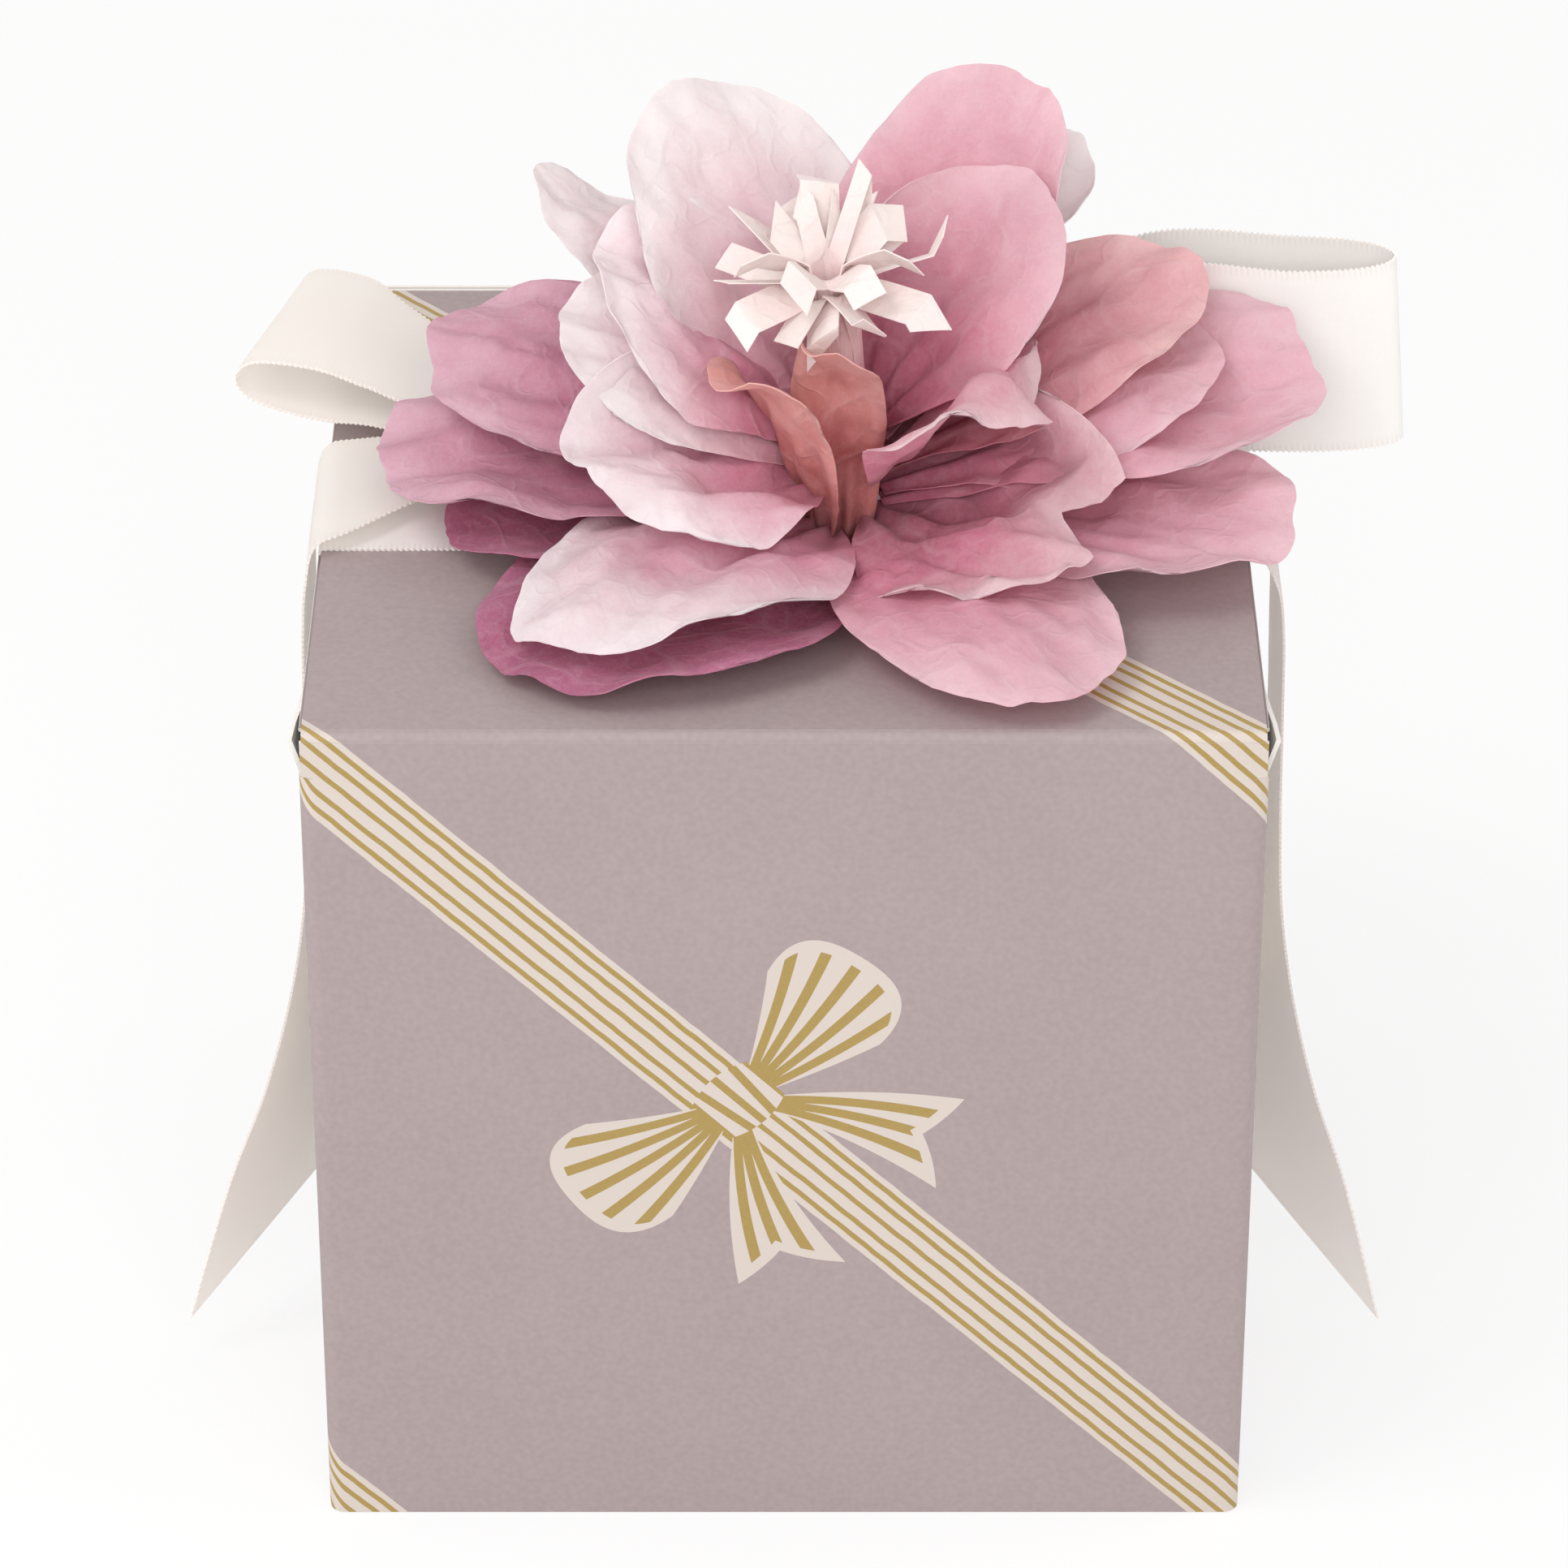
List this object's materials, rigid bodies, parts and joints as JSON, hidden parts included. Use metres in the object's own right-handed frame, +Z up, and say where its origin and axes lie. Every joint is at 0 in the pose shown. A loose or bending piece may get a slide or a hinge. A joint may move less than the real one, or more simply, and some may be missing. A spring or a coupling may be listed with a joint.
{
  "type": "flower gift box",
  "caption": "Square folding gift carton with a front-hinged tuck lid that carries a satin ribbon bow and a large tissue paper flower.",
  "frame": {"origin": "middle of the flat base of the carton", "axes": "+Z up, -Y towards the front panel on whose top crease the lid swings, +X to the right seen from the front"},
  "size_m": [0.1565, 0.115, 0.1639],
  "materials": {
    "carton_board": "matte",
    "satin_ribbon": "satin",
    "tissue_deep": "matte",
    "tissue_pink": "matte",
    "tissue_coral": "matte",
    "tissue_pale": "matte",
    "fringe_paper": "matte",
    "florist_wire": "matte"
  },
  "bodies": {
    "carton": {"back_panel": "carton_board", "base_back_flap": "carton_board", "base_front_flap": "carton_board", "base_left_flap": "carton_board", "base_right_flap": "carton_board", "front_panel": "carton_board", "glue_flap": "carton_board", "left_panel": "carton_board", "right_panel": "carton_board"},
    "lid": {"binding_wire": "florist_wire", "bow_knot": "satin_ribbon", "flower_core": "tissue_pink", "fringe_inner": "fringe_paper", "fringe_middle": "fringe_paper", "fringe_outer": "fringe_paper", "inner_petal_1": "tissue_pale", "inner_petal_2": "tissue_pink", "inner_petal_3": "tissue_pale", "inner_petal_4": "tissue_pink", "inner_petal_5": "tissue_coral", "inner_petal_6": "tissue_coral", "left_bow_loop": "satin_ribbon", "left_tail_top": "satin_ribbon", "lid_panel": "carton_board", "middle_petal_1": "tissue_pink", "middle_petal_2": "tissue_pink", "middle_petal_3": "tissue_pink", "middle_petal_4": "tissue_pink", "middle_petal_5": "tissue_coral", "middle_petal_6": "tissue_pink", "middle_petal_7": "tissue_pale", "middle_petal_8": "tissue_pink", "middle_petal_9": "tissue_pale", "outer_petal_1": "tissue_deep", "outer_petal_2": "tissue_pink", "outer_petal_3": "tissue_deep", "outer_petal_4": "tissue_pink", "outer_petal_5": "tissue_pink", "outer_petal_6": "tissue_deep", "outer_petal_7": "tissue_pink", "outer_petal_8": "tissue_pink", "ribbon_band": "satin_ribbon", "right_bow_loop": "satin_ribbon", "right_tail_top": "satin_ribbon"},
    "tuck_flap": {"tuck_flap": "carton_board"},
    "left_dust_flap": {"left_dust_flap": "carton_board"},
    "right_dust_flap": {"right_dust_flap": "carton_board"},
    "left_tail": {"left_tail": "satin_ribbon"},
    "right_tail": {"right_tail": "satin_ribbon"}
  },
  "joints": [
    {"name": "lid_hinge", "type": "hinge", "parent": "carton", "child": "lid", "pos_m": [0, -0.0572, 0.1147], "axis": [1, 0, 0], "range_deg": [0, 120]},
    {"name": "tuck_fold", "type": "hinge", "parent": "lid", "child": "tuck_flap", "pos_m": [0, 0.0562, 0.1147], "axis": [1, 0, 0], "range_deg": [0, 42]},
    {"name": "left_dust_fold", "type": "hinge", "parent": "carton", "child": "left_dust_flap", "pos_m": [-0.0572, 0, 0.1135], "axis": [0, -1, 0], "range_deg": [0, 72]},
    {"name": "right_dust_fold", "type": "hinge", "parent": "carton", "child": "right_dust_flap", "pos_m": [0.0572, 0, 0.1135], "axis": [0, 1, 0], "range_deg": [0, 72]},
    {"name": "left_tail_swing", "type": "hinge", "parent": "lid", "child": "left_tail", "pos_m": [-0.05935, -0.006, 0.094], "axis": [1, 0, 0], "range_deg": [-120, 0]},
    {"name": "right_tail_swing", "type": "hinge", "parent": "lid", "child": "right_tail", "pos_m": [0.06165, -0.006, 0.094], "axis": [1, 0, 0], "range_deg": [-120, 0]}
  ],
  "couplings": [
    {"joint": "tuck_fold", "follows": "lid_hinge", "ratio": 0.35},
    {"joint": "left_dust_fold", "follows": "lid_hinge", "ratio": 0.6},
    {"joint": "right_dust_fold", "follows": "lid_hinge", "ratio": 0.6},
    {"joint": "left_tail_swing", "follows": "lid_hinge", "ratio": -1},
    {"joint": "right_tail_swing", "follows": "lid_hinge", "ratio": -1}
  ]
}
